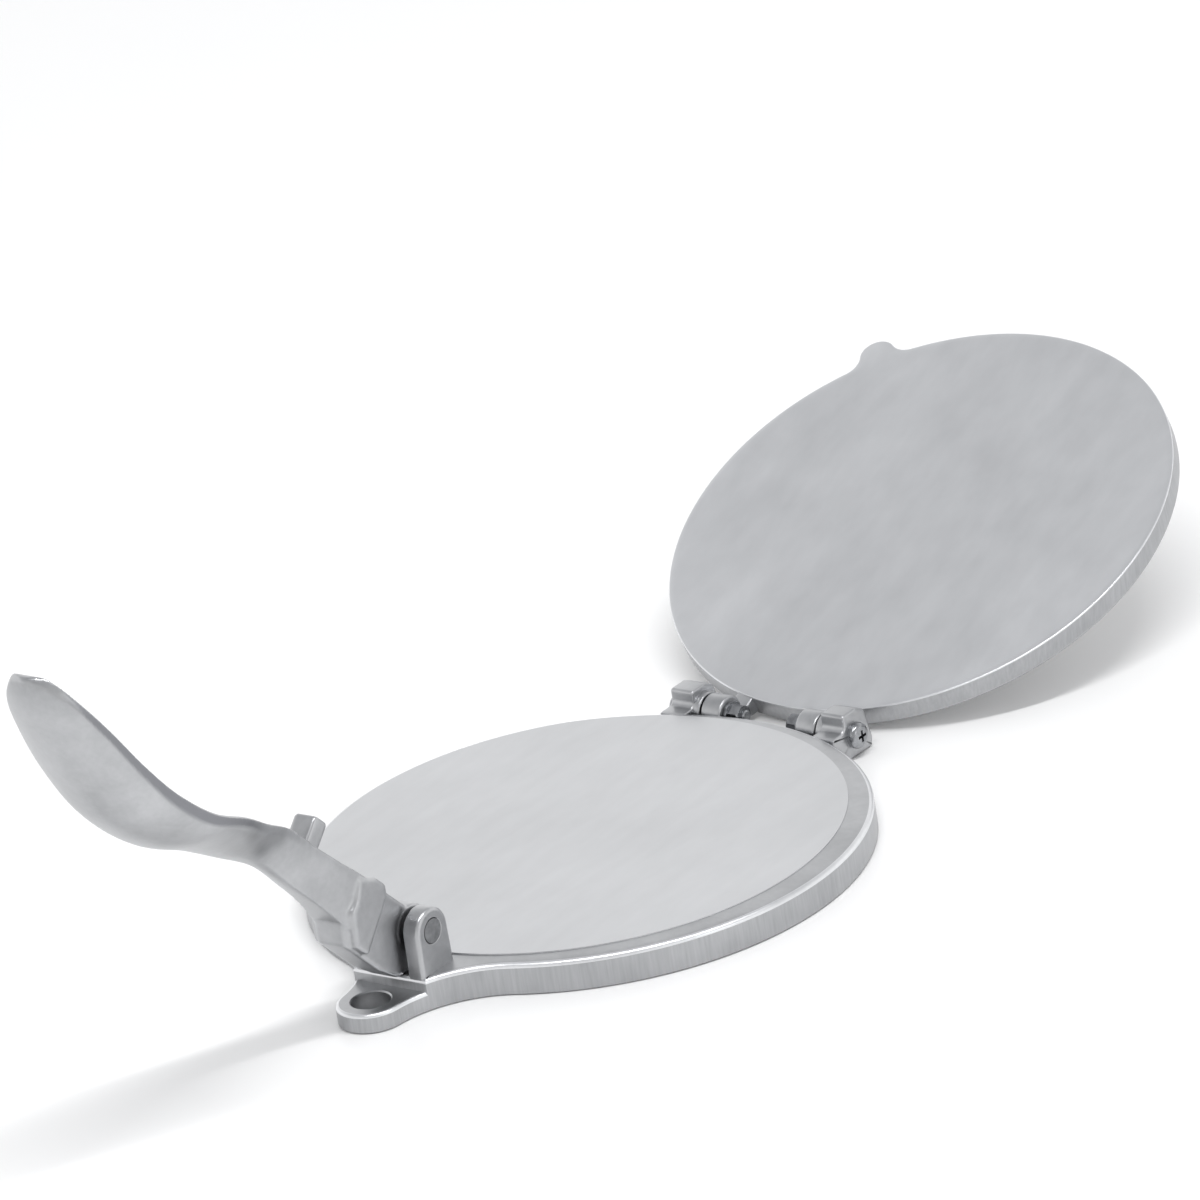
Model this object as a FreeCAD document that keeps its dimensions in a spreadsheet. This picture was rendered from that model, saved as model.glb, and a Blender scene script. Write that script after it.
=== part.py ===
import FreeCAD, Part
import math
import os

# Cast aluminium tortilla press, shown open: a round base plate, a round top plate that swings back on a screw
# hinge behind it, and a spoon-shaped lever on a pin in front.
# Millimetres and degrees. +Z is up, +Y points to the hinge and -Y to the lever. The origin is the centre of the
# base's outer circle, on the underside that rests on the table.

sizes = {
    # base casting
    "disc_radius": 99.3,
    "disc_shift": 5.0,
    "disc_rise": 0.8,
    "rim_narrow": 0.1,
    "rim_height": 12.0,
    "crown_inset": 11.4,
    "crown_rise": 0.6,
    "lug_beyond": 25.6,
    "lug_radius": 12.8,
    "lug_hole_radius": 7.2,
    "flank_radius": 42.0,
    "step_beyond": 13.9,
    "step_drop": 4.8,
    "land_width": 10.0,
    "relief_depth": 3.4,
    "relief_boss_radius": 17.0,
    "rib_width": 9.0,
    # lever ears and pin
    "pivot_beyond": 4.5,
    "pivot_rise": 15.0,
    "ear_inside": 8.7,
    "ear_thickness": 6.9,
    "ear_radius": 8.6,
    "ear_foot": 9.2,
    "pin_radius": 4.5,
    "pin_seat_clearance": 0.1,
    # hinge posts on the base
    "hinge_beyond": 6.8,
    "hinge_drop": 3.6,
    "post_inside": 29.2,
    "post_width": 10.4,
    "post_front_depth": 5.5,
    "post_top_depth": 8.0,
    "post_back_slope_depth": 5.0,
    "post_back_slope_drop": 2.3,
    "post_rise": 9.6,
    "post_back_depth": 10.3,
    "post_back_height": 3.2,
    "post_foot_inset": 1.0,
    "post_root_depth": 16.5,
    "post_foot_round": 2.5,
    "boss_radius": 7.2,
    "boss_length": 2.6,
    # top plate
    "plate_inset": 4.9,
    "plate_thickness": 8.8,
    "plate_gap": 0.3,
    "plate_edge_round": 1.2,
    "tab_angle": 40.6,
    "tab_beyond": 3.6,
    "tab_radius": 7.0,
    "tab_blend_radius": 8.0,
    "back_land_width": 9.0,
    "back_relief_depth": 2.4,
    "back_boss_radius": 17.0,
    "back_rib_width": 12.0,
    "barrel_radius": 7.0,
    "barrel_length": 8.8,
    "barrel_gap": 0.6,
    "arm_root_depth": 11.5,
    "arm_back_depth": 5.5,
    "open_angle": 158.9,
    # hinge screws, washers and nuts
    "screw_radius": 2.5,
    "screw_clearance": 0.15,
    "screw_length": 30.0,
    "screw_tip_chamfer": 0.5,
    "head_radius": 4.9,
    "head_height": 3.4,
    "head_side_height": 1.2,
    "head_flat_radius": 2.6,
    "recess_length": 4.6,
    "recess_width": 1.1,
    "recess_depth": 1.7,
    "washer_radius": 5.0,
    "washer_thickness": 1.2,
    "washer_gap": 0.2,
    "nut_flats": 8.0,
    "nut_height": 4.7,
    "nut_corner_drop": 0.8,
    "thread_clearance": 0.05,
    # lever casting
    "lever_reach": 238.0,
    "lever_rest_angle": 46.4,
    "hub_radius": 8.7,
    "hub_side_gap": 0.3,
    "hub_clearance": 0.1,
    "arm_top": 5.2,
    "arm_depth": 5.0,
    "cam_width": 13.0,
    "cam_depth": 20.4,
    "cam_end": 32.0,
    "cam_slope_end": 38.5,
    "cam_slope_depth": 14.0,
    "foot_front": 11.8,
    "foot_gap": 0.3,
    "block_width": 20.0,
    "block_near": 23.4,
    "block_far": 42.0,
    "block_top": 6.4,
    "block_depth": 19.2,
    "block_corner": 3.2,
    "stub_width": 10.0,
    "stub_near": 62.4,
    "stub_far": 70.4,
    "stub_top": 14.4,
    "stub_round": 0.8,
    "neck_overlap": 5.1,
    "spoon_half_width": 27.0,
    "spoon_rim_drop": 18.0,
    "spoon_depth": 12.5,
    "spoon_wall": 3.0,
    # one overrun for every cut
    "overrun": 5.0,
}
# Places that follow from the sizes above, so that what touches stays together when a size changes
tied_sizes = {
    "base_radius": "disc_radius + disc_shift + rim_narrow",
    "crown_radius": "base_radius - crown_inset",
    "crown_height": "rim_height + crown_rise",
    "disc_height": "rim_height + disc_rise",
    "lug_distance": "base_radius + lug_beyond",
    "lug_height": "rim_height - step_drop",
    "step_distance": "base_radius + step_beyond",
    "pivot_distance": "base_radius + pivot_beyond",
    "pivot_height": "rim_height + pivot_rise",
    "hinge_distance": "base_radius + hinge_beyond",
    "hinge_height": "rim_height - hinge_drop",
    "post_front": "hinge_distance - post_front_depth",
    "post_height": "hinge_height + post_rise",
    "post_back": "hinge_distance + post_back_depth",
    "post_root": "base_radius - post_root_depth",
    "plate_radius": "base_radius - plate_inset",
    "tab_distance": "plate_radius + tab_beyond",
    "arm_root": "plate_radius - arm_root_depth",
    "arm_back": "plate_radius - arm_back_depth",
    "neck_start": "block_far - neck_overlap",
}
rib_count = 6

# The neck and spoon, station by station from inside the end block to the tip: shares of that way, of the spoon's
# half width, of the rim's drop below the pivot line and of the spoon's depth.
spoon_shares = [
    (0.000, 0.345, -0.090, 1.300),
    (0.072, 0.330, -0.055, 1.040),
    (0.154, 0.325, -0.030, 0.870),
    (0.250, 0.385, 0.000, 0.700),
    (0.353, 0.640, 0.300, 0.800),
    (0.454, 0.880, 0.560, 0.940),
    (0.556, 0.980, 0.910, 1.000),
    (0.658, 0.960, 1.000, 0.960),
    (0.760, 0.880, 0.880, 0.770),
    (0.863, 0.740, 0.610, 0.590),
    (0.933, 0.570, 0.420, 0.440),
    (0.972, 0.380, 0.300, 0.300),
    (0.992, 0.200, 0.235, 0.180),
    (1.000, 0.060, 0.210, 0.090),
]
# The hollow inside the spoon: shares of the same way, the half width inside the wall, the rim's drop and the depth
# inside the wall.
hollow_shares = [
    (0.379, 0.380, 0.370, -0.180),
    (0.454, 0.800, 0.560, 0.500),
    (0.556, 0.980, 0.910, 1.000),
    (0.658, 0.960, 1.000, 0.950),
    (0.760, 0.870, 0.880, 0.680),
    (0.863, 0.700, 0.610, 0.420),
    (0.933, 0.480, 0.420, 0.180),
    (0.962, 0.270, 0.330, 0.020),
]
# A quarter of an ellipse as one cubic curve: its handles reach this share of each half axis.
quarter_handle_share = 0.5523

doc = FreeCAD.newDocument("tortilla_press")
sheet = doc.addObject("Spreadsheet::Sheet", "Sizes")
cells = [(alias, str(value)) for alias, value in sizes.items()]
cells += [(alias, "=" + formula) for alias, formula in tied_sizes.items()]
for row, (alias, content) in enumerate(cells, start=1):
    sheet.set("A%d" % row, alias)
    sheet.set("B%d" % row, content)
    sheet.setAlias("B%d" % row, alias)
doc.recompute()


def size(alias):
    return float(getattr(sheet, alias))


def sine(degrees):
    return math.sin(math.radians(degrees))


def cosine(degrees):
    return math.cos(math.radians(degrees))


def point(across, up):
    return FreeCAD.Vector(across, up, 0)


def polar(radius, degrees):
    return point(radius * cosine(degrees), radius * sine(degrees))


# Sketch and feature helpers

def new_body(name):
    body = doc.addObject("PartDesign::Body", name)
    body.Label = name
    return body


def origin_feature(body, role):
    return [feature for feature in body.Origin.OriginFeatures if feature.Role == role][0]


def new_sketch(body, name, plane, geometry, offset=None):
    sketch = body.newObject("Sketcher::SketchObject", name)
    sketch.AttachmentSupport = [(origin_feature(body, plane), "")]
    sketch.MapMode = "FlatFace"
    if offset is not None:
        sketch.setExpression("AttachmentOffset.Base.z", offset)
    sketch.addGeometry(geometry, False)
    return sketch


def polygon(points):
    return [Part.LineSegment(start, end) for start, end in zip(points, points[1:] + points[:1])]


def circle(center, radius):
    return Part.Circle(center, FreeCAD.Vector(0, 0, 1), radius)


def arc_about(center, radius, start, end):
    # from the direction start to the direction end, anticlockwise, in degrees
    middle = (start + end) / 2
    return Part.Arc(center + polar(radius, start), center + polar(radius, middle), center + polar(radius, end))


def pad(body, name, sketch, length, symmetric=False, backwards=False):
    feature = body.newObject("PartDesign::Pad", name)
    feature.Profile = sketch
    feature.setExpression("Length", length)
    feature.SideType = "Symmetric" if symmetric else "One side"
    feature.Reversed = backwards
    doc.recompute()
    return feature


def cut(body, name, kind, sketch, **settings):
    # a pocket or groove, with a test that it really took material away
    before = body.Shape.Volume
    feature = body.newObject("PartDesign::" + kind, name)
    feature.Profile = sketch
    expressions = settings.pop("expressions", {})
    for setting, value in settings.items():
        setattr(feature, setting, value)
    for setting, value in expressions.items():
        feature.setExpression(setting, value)
    doc.recompute()
    if body.Shape.Volume >= before:
        raise RuntimeError(name + " cuts nothing")
    return feature


def mirror(body, name, features, plane):
    feature = body.newObject("PartDesign::Mirrored", name)
    feature.Originals = features
    feature.MirrorPlane = (origin_feature(body, plane), [""])
    body.Tip = feature
    doc.recompute()
    return feature


def revolve(body, name, sketch, axis):
    feature = body.newObject("PartDesign::Revolution", name)
    feature.Profile = sketch
    feature.ReferenceAxis = (origin_feature(body, axis), [""])
    feature.Angle = 360
    doc.recompute()
    return feature


def round_edges(body, name, radius, chosen):
    # rounds the edges of the body's last feature for which chosen(edge) is true
    tip = body.Tip
    names = ["Edge%d" % (index + 1) for index, edge in enumerate(tip.Shape.Edges) if chosen(edge)]
    feature = body.newObject("PartDesign::Fillet", name)
    feature.Base = (tip, names)
    feature.setExpression("Radius", radius)
    doc.recompute()
    return feature


def tangent_point(outside, center, radius, side):
    # where a line from an outside point touches a circle, with side 1 or -1 for its two tangents
    away = outside - center
    turn = math.degrees(math.acos(radius / away.Length)) * side
    start = math.degrees(math.atan2(away.y, away.x))
    return center + polar(radius, start + turn)


def ribbed_relief(body, name, plane_offset, inner_radius, outer_radius, rib, depth, upwards, first_angle):
    # one of the shallow fields between a centre boss, the rim and straight radial ribs, then turned round the centre
    half_step = 180.0 / rib_count
    half_rib = rib / 2

    def corner(radius, side):
        # on a circle about the centre, half a rib away from the field's edge line
        angle = first_angle + side * (half_step - math.degrees(math.asin(half_rib / radius)))
        return angle

    inner_start = corner(inner_radius, -1)
    inner_end = corner(inner_radius, 1)
    outer_start = corner(outer_radius, -1)
    outer_end = corner(outer_radius, 1)
    center = point(0, 0)
    geometry = [
        arc_about(center, inner_radius, inner_start, inner_end),
        Part.LineSegment(polar(inner_radius, inner_end), polar(outer_radius, outer_end)),
        arc_about(center, outer_radius, outer_start, outer_end),
        Part.LineSegment(polar(outer_radius, outer_start), polar(inner_radius, inner_start)),
    ]
    sketch = new_sketch(body, name + "_sketch", "XY_Plane", geometry, plane_offset)
    field = cut(body, name, "Pocket", sketch, Reversed=upwards, expressions={"Length": depth})
    pattern = body.newObject("PartDesign::PolarPattern", name + "_fields")
    pattern.Originals = [field]
    pattern.Axis = (origin_feature(body, "Z_Axis"), [""])
    pattern.Angle = 360
    pattern.Occurrences = rib_count
    body.Tip = pattern
    doc.recompute()
    return pattern


# Base plate

base_plate = new_body("base_plate")
base_radius = size("base_radius")
lug_center = point(0, -size("lug_distance"))
lug_radius = size("lug_radius")
flank_radius = size("flank_radius")
origin = point(0, 0)

# The plan of the tongue: the flank is one concave arc that touches the outer circle and the lug's round end. The
# three centres make a triangle with known sides, and its angle at the origin places the arc.
side_to_flank = base_radius + flank_radius
side_to_lug = lug_radius + flank_radius
turn = math.degrees(math.acos(
    (side_to_flank ** 2 + size("lug_distance") ** 2 - side_to_lug ** 2)
    / (2 * side_to_flank * size("lug_distance"))))
flank_right = polar(side_to_flank, -90 + turn)
flank_left = polar(side_to_flank, -90 - turn)
to_lug = lug_center - flank_right
lug_direction = math.degrees(math.atan2(to_lug.y, to_lug.x))
circle_direction = math.degrees(math.atan2(-flank_right.y, -flank_right.x))
lug_side = math.degrees(math.atan2(-to_lug.y, -to_lug.x))
tongue_geometry = [
    arc_about(flank_right, flank_radius, circle_direction, lug_direction % 360),
    arc_about(lug_center, lug_radius, -180 - lug_side, lug_side),
    arc_about(flank_left, flank_radius, 180 - lug_direction % 360, 180 - circle_direction),
    Part.LineSegment(flank_left + polar(flank_radius, 180 - circle_direction), origin),
    Part.LineSegment(origin, flank_right + polar(flank_radius, circle_direction)),
]
tongue_sketch = new_sketch(base_plate, "tongue_sketch", "XY_Plane", tongue_geometry)
pad(base_plate, "tongue", tongue_sketch, "Sizes.rim_height")

# The step down to the lug
lug_reach = size("lug_distance") + lug_radius + size("overrun")
step_points = [
    point(-base_radius, -size("step_distance")),
    point(base_radius, -size("step_distance")),
    point(base_radius, -lug_reach),
    point(-base_radius, -lug_reach),
]
step_sketch = new_sketch(base_plate, "step_sketch", "XY_Plane", polygon(step_points), "Sizes.lug_height")
cut(base_plate, "lug_step", "Pocket", step_sketch, Type="ThroughAll", Reversed=True)

# The round plate: side wall, sloped rim and the crown under the machined disc
plate_profile = [
    point(0, 0),
    point(base_radius, 0),
    point(base_radius, size("rim_height")),
    point(size("crown_radius"), size("crown_height")),
    point(0, size("crown_height")),
]
round_sketch = new_sketch(base_plate, "round_sketch", "XZ_Plane", polygon(plate_profile))
revolve(base_plate, "round_plate", round_sketch, "Z_Axis")

# The machined disc, faced off-centre on the real casting
disc_sketch = new_sketch(
    base_plate, "disc_sketch", "XY_Plane", [circle(point(-size("disc_shift"), 0), size("disc_radius"))],
    "Sizes.rim_height")
pad(base_plate, "machined_disc", disc_sketch, "Sizes.disc_height - Sizes.rim_height")

# Hinge posts with their round bosses
post_front = size("post_front")
foot_round = size("post_foot_round")
rim_height = size("rim_height")
top_back = post_front + size("post_top_depth")
foot_center = point(post_front - foot_round, rim_height + foot_round)
post_points = [
    point(post_front, rim_height + foot_round),
    point(post_front, size("post_height")),
    point(top_back, size("post_height")),
    point(top_back + size("post_back_slope_depth"), size("post_height") - size("post_back_slope_drop")),
    point(size("post_back"), size("post_back_height")),
    point(size("post_back") - size("post_foot_inset"), 0),
    point(size("post_root"), 0),
    point(size("post_root"), rim_height),
    point(post_front - foot_round, rim_height),
]
post_geometry = [Part.LineSegment(start, end) for start, end in zip(post_points, post_points[1:])]
post_geometry.append(arc_about(foot_center, foot_round, -90, 0))
post_sketch = new_sketch(base_plate, "post_sketch", "YZ_Plane", post_geometry, "Sizes.post_inside")
post = pad(base_plate, "post", post_sketch, "Sizes.post_width")
hinge_center = point(size("hinge_distance"), size("hinge_height"))
boss_sketch = new_sketch(
    base_plate, "boss_sketch", "YZ_Plane", [circle(hinge_center, size("boss_radius"))], "Sizes.post_inside")
boss = pad(base_plate, "boss", boss_sketch, "Sizes.boss_length", backwards=True)
mirror(base_plate, "left_post_and_boss", [post, boss], "YZ_Plane")

# Lever ears, with sides that lean in to the round top
pivot_center = point(-size("pivot_distance"), size("pivot_height"))
ear_front_foot = point(-size("pivot_distance") - size("ear_foot"), size("lug_height"))
ear_back_foot = point(-size("pivot_distance") + size("ear_foot"), size("lug_height"))
front_touch = tangent_point(ear_front_foot, pivot_center, size("ear_radius"), -1)
back_touch = tangent_point(ear_back_foot, pivot_center, size("ear_radius"), 1)
ear_geometry = [
    Part.LineSegment(ear_front_foot, ear_back_foot),
    Part.LineSegment(ear_back_foot, back_touch),
    Part.Arc(back_touch, pivot_center + point(0, size("ear_radius")), front_touch),
    Part.LineSegment(front_touch, ear_front_foot),
]
ear_sketch = new_sketch(base_plate, "ear_sketch", "YZ_Plane", ear_geometry, "Sizes.ear_inside")
ear = pad(base_plate, "ear", ear_sketch, "Sizes.ear_thickness")
mirror(base_plate, "left_ear", [ear], "YZ_Plane")

# Holes for the lever pin, the hinge screws and the bolt or hook in the lug
pin_seat_sketch = new_sketch(
    base_plate, "pin_seat_sketch", "YZ_Plane",
    [circle(pivot_center, size("pin_radius") + size("pin_seat_clearance"))])
cut(base_plate, "pin_seats", "Pocket", pin_seat_sketch, SideType="Symmetric",
    expressions={"Length": "2 * (Sizes.ear_inside + Sizes.ear_thickness + Sizes.overrun)"})
screw_hole_sketch = new_sketch(
    base_plate, "screw_hole_sketch", "YZ_Plane",
    [circle(hinge_center, size("screw_radius") + size("screw_clearance"))])
cut(base_plate, "screw_holes", "Pocket", screw_hole_sketch, SideType="Symmetric",
    expressions={"Length": "2 * (Sizes.post_inside + Sizes.post_width + Sizes.overrun)"})
lug_hole_sketch = new_sketch(
    base_plate, "lug_hole_sketch", "XY_Plane", [circle(lug_center, size("lug_hole_radius"))])
cut(base_plate, "lug_hole", "Pocket", lug_hole_sketch, Type="ThroughAll", Reversed=True)

# Shallow fields between the ribs of the underside
ribbed_relief(
    base_plate, "underside_relief", None, size("relief_boss_radius"), base_radius - size("land_width") - foot_round,
    size("rib_width"), "Sizes.relief_depth", True, 0)

# Top plate, drawn closed over the base and then swung open about the hinge

top_plate = new_body("top_plate")
plate_radius = size("plate_radius")
face_height = size("disc_height") + size("plate_gap")
tab_direction = -90 - size("tab_angle")
tab_center = polar(size("tab_distance"), tab_direction)
side_to_blend = plate_radius + size("tab_blend_radius")
tab_to_blend = size("tab_radius") + size("tab_blend_radius")
tab_turn = math.degrees(math.acos(
    (side_to_blend ** 2 + size("tab_distance") ** 2 - tab_to_blend ** 2)
    / (2 * side_to_blend * size("tab_distance"))))
blend_before = polar(side_to_blend, tab_direction - tab_turn)
blend_after = polar(side_to_blend, tab_direction + tab_turn)
rim_before = polar(plate_radius, tab_direction - tab_turn)
rim_after = polar(plate_radius, tab_direction + tab_turn)
tip_before = tab_center + (blend_before - tab_center) * (size("tab_radius") / tab_to_blend)
tip_after = tab_center + (blend_after - tab_center) * (size("tab_radius") / tab_to_blend)
tip = polar(size("tab_distance") + size("tab_radius"), tab_direction)


def blend_arc(center, start, end):
    # the short way round from start to end on the blend circle
    middle = (start + end) / 2 - center
    return Part.Arc(start, center + middle * (size("tab_blend_radius") / middle.Length), end)


plate_geometry = [
    Part.Arc(rim_after, polar(plate_radius, tab_direction + 180), rim_before),
    blend_arc(blend_before, rim_before, tip_before),
    Part.Arc(tip_before, tip, tip_after),
    blend_arc(blend_after, tip_after, rim_after),
]
plate_sketch = new_sketch(
    top_plate, "plate_sketch", "XY_Plane", plate_geometry, "Sizes.disc_height + Sizes.plate_gap")
pad(top_plate, "plate", plate_sketch, "Sizes.plate_thickness")
back_height = face_height + size("plate_thickness")
round_edges(
    top_plate, "back_edge_round", "Sizes.plate_edge_round",
    lambda edge: edge.BoundBox.ZMin > back_height - size("plate_gap"))

# Arms that end in the hinge barrels
barrel_center = point(size("hinge_distance"), size("hinge_height"))
arm_back_corner = point(size("arm_back"), back_height)
arm_touch = tangent_point(arm_back_corner, barrel_center, size("barrel_radius"), -1)
face_rise = face_height - size("hinge_height")
barrel_run = math.sqrt(size("barrel_radius") ** 2 - face_rise ** 2)
arm_points = [
    point(size("arm_root"), face_height),
    point(size("hinge_distance") - barrel_run, face_height),
    barrel_center,
    arm_touch,
    arm_back_corner,
    point(size("arm_root"), back_height),
]
barrel_start = "Sizes.post_inside - Sizes.boss_length - Sizes.barrel_gap - Sizes.barrel_length"
arm_sketch = new_sketch(top_plate, "arm_sketch", "YZ_Plane", polygon(arm_points), barrel_start)
arm = pad(top_plate, "arm", arm_sketch, "Sizes.barrel_length")
barrel_sketch = new_sketch(
    top_plate, "barrel_sketch", "YZ_Plane", [circle(barrel_center, size("barrel_radius"))], barrel_start)
barrel = pad(top_plate, "barrel", barrel_sketch, "Sizes.barrel_length")

mirror(top_plate, "left_arm", [arm, barrel], "YZ_Plane")
barrel_bore_sketch = new_sketch(
    top_plate, "barrel_bore_sketch", "YZ_Plane",
    [circle(barrel_center, size("screw_radius") + size("screw_clearance"))])
cut(top_plate, "barrel_bores", "Pocket", barrel_bore_sketch, SideType="Symmetric",
    expressions={"Length": "2 * (Sizes.post_inside + Sizes.overrun)"})

# Shallow fields between the ribs of the plate's back
ribbed_relief(
    top_plate, "back_relief", "Sizes.disc_height + Sizes.plate_gap + Sizes.plate_thickness",
    size("back_boss_radius"), plate_radius - size("back_land_width"), size("back_rib_width"),
    "Sizes.back_relief_depth", False, 0)

# Lever, drawn along +Y with the pivot at the origin and the side that faces the press up

lever = new_body("lever")
hub_side = "2 * (Sizes.ear_inside - Sizes.hub_side_gap)"
hub_sketch = new_sketch(lever, "hub_sketch", "YZ_Plane", [circle(origin, size("hub_radius"))])
pad(lever, "hub", hub_sketch, hub_side, symmetric=True)
hub_arm_points = [
    point(0, size("arm_top")),
    point(size("block_near") + size("block_corner"), size("arm_top")),
    point(size("block_near") + size("block_corner"), -size("arm_depth")),
    point(0, -size("arm_depth")),
]
hub_arm_sketch = new_sketch(lever, "hub_arm_sketch", "YZ_Plane", polygon(hub_arm_points))
pad(lever, "hub_arm", hub_arm_sketch, hub_side, symmetric=True)

# The cam's flat foot stands just above the tongue at rest. In the lever's own frame a place that lies forward
# and below the pivot is turned by the rest angle.
rest_angle = size("lever_rest_angle")
foot_drop = size("pivot_height") - size("rim_height") - size("foot_gap")


def lever_place(forward, below):
    along = forward * cosine(rest_angle) - below * sine(rest_angle)
    up = -forward * sine(rest_angle) - below * cosine(rest_angle)
    return point(along, up)


cam_points = [
    origin,
    lever_place(0, foot_drop),
    lever_place(size("foot_front"), foot_drop),
    point(size("hub_radius"), -size("cam_depth")),
    point(size("cam_end"), -size("cam_depth")),
    point(size("cam_slope_end"), -size("cam_slope_depth")),
    point(size("cam_slope_end"), 0),
]
cam_sketch = new_sketch(lever, "cam_sketch", "YZ_Plane", polygon(cam_points))
pad(lever, "cam", cam_sketch, "Sizes.cam_width", symmetric=True)

# The wide end block
near = size("block_near")
far = size("block_far")
corner = size("block_corner")
block_points = [
    point(near - corner / 2, -size("block_depth")),
    point(near, size("block_top") - corner),
    point(near + corner, size("block_top")),
    point(near + corner * 3, size("block_top")),
    point(far, size("arm_top") / 2),
    point(far - corner, -size("arm_depth")),
    point(far - corner, -size("arm_depth") * 2),
    point(near + corner * 2, -size("block_depth")),
]
block_sketch = new_sketch(lever, "block_sketch", "YZ_Plane", polygon(block_points))
pad(lever, "end_block", block_sketch, "Sizes.block_width", symmetric=True)

# Neck and spoon back: one loft through cross-sections with a flat top, short upright sides and an elliptic
# underside
reach = size("lever_reach")
half_width = size("spoon_half_width")
rim_drop = size("spoon_rim_drop")
depth = size("spoon_depth")
wall = size("spoon_wall")


def quarter_curve(start, corner_point, end):
    curve = Part.BezierCurve()
    first = start + (corner_point - start) * quarter_handle_share
    second = end + (corner_point - end) * quarter_handle_share
    curve.setPoles([start, first, second, end])
    return curve.toBSpline()


def spoon_section(name, along_share, wide, rim, below, top):
    right_rim = point(wide, rim)
    left_rim = point(-wide, rim)
    right_top = point(wide, top)
    left_top = point(-wide, top)
    bottom = point(0, rim - below)
    geometry = [
        Part.LineSegment(left_top, right_top),
        Part.LineSegment(right_top, right_rim),
        quarter_curve(right_rim, point(wide, rim - below), bottom),
        quarter_curve(bottom, point(-wide, rim - below), left_rim),
        Part.LineSegment(left_rim, left_top),
    ]
    along = "-Sizes.neck_start - (Sizes.lever_reach - Sizes.neck_start) * %.4f" % along_share
    return new_sketch(lever, name, "XZ_Plane", geometry, along)


outer_sections = []
for number, (along, wide, drop, below) in enumerate(spoon_shares, start=1):
    rim = -drop * rim_drop
    outer_sections.append(spoon_section(
        "spoon_section_%d" % number, along, wide * half_width, rim, below * depth, rim + wall))
doc.recompute()
spoon = lever.newObject("PartDesign::AdditiveLoft", "spoon")
spoon.Profile = outer_sections[0]
spoon.Sections = outer_sections[1:]
doc.recompute()

hollow_sections = []
for number, (along, wide, drop, below) in enumerate(hollow_shares, start=1):
    rim = -drop * rim_drop
    hollow_sections.append(spoon_section(
        "hollow_section_%d" % number, along, wide * (half_width - wall), rim, below * (depth - wall),
        rim + wall + size("overrun")))
doc.recompute()
hollow = lever.newObject("PartDesign::SubtractiveLoft", "spoon_hollow")
hollow.Profile = hollow_sections[0]
hollow.Sections = hollow_sections[1:]
doc.recompute()

# The stub that presses on the plate's back
stub_points = [
    point(size("stub_near"), 0),
    point(size("stub_far"), 0),
    point(size("stub_far"), size("stub_top")),
    point(size("stub_near"), size("stub_top")),
]
stub_sketch = new_sketch(lever, "stub_sketch", "YZ_Plane", polygon(stub_points))
pad(lever, "stub", stub_sketch, "Sizes.stub_width", symmetric=True)
round_edges(
    lever, "stub_edge_round", "Sizes.stub_round",
    lambda edge: edge.BoundBox.ZMin > size("stub_top") - size("stub_round"))
pin_bore_sketch = new_sketch(
    lever, "pin_bore_sketch", "YZ_Plane", [circle(origin, size("pin_radius") + size("hub_clearance"))])
cut(lever, "pin_bore", "Pocket", pin_bore_sketch, SideType="Symmetric", expressions={"Length": hub_side})

# Lever pin, through both ears and the hub

lever_pin = new_body("lever_pin")
pin_sketch = new_sketch(lever_pin, "pin_sketch", "YZ_Plane", [circle(origin, size("pin_radius"))])
pad(lever_pin, "pin", pin_sketch, "2 * (Sizes.ear_inside + Sizes.ear_thickness)", symmetric=True)

# Hinge screws, drawn upright with the underside of the head at the origin

screw_radius = size("screw_radius")
washer_near = (
    size("post_inside") - size("boss_length") - size("barrel_gap") - size("barrel_length") - size("washer_gap"))
nut_near = washer_near - size("washer_thickness")


def make_screw(name):
    body = new_body(name)
    length = size("screw_length")
    chamfer = size("screw_tip_chamfer")
    head_radius = size("head_radius")
    side_height = size("head_side_height")
    head_height = size("head_height")
    flat_radius = size("head_flat_radius")
    dome_middle = point(
        flat_radius + (head_radius - flat_radius) * cosine(45), side_height + (head_height - side_height) * sine(45))
    outline = [
        point(0, head_height),
        point(0, -length),
        point(screw_radius - chamfer, -length),
        point(screw_radius, -length + chamfer),
        point(screw_radius, 0),
        point(head_radius, 0),
        point(head_radius, side_height),
    ]
    geometry = [Part.LineSegment(start, end) for start, end in zip(outline, outline[1:])]
    geometry.append(Part.Arc(outline[-1], dome_middle, point(flat_radius, head_height)))
    geometry.append(Part.LineSegment(point(flat_radius, head_height), outline[0]))
    profile = new_sketch(body, name + "_profile", "XZ_Plane", geometry)
    revolve(body, name + "_turned", profile, "Z_Axis")
    long = size("recess_length") / 2
    thin = size("recess_width") / 2
    cross = [
        point(long, thin), point(thin, thin), point(thin, long), point(-thin, long), point(-thin, thin),
        point(-long, thin), point(-long, -thin), point(-thin, -thin), point(-thin, -long), point(thin, -long),
        point(thin, -thin), point(long, -thin),
    ]
    recess = new_sketch(body, name + "_cross", "XY_Plane", polygon(cross), "Sizes.head_height")
    cut(body, name + "_recess", "Pocket", recess, expressions={"Length": "Sizes.recess_depth"})
    return body


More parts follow.
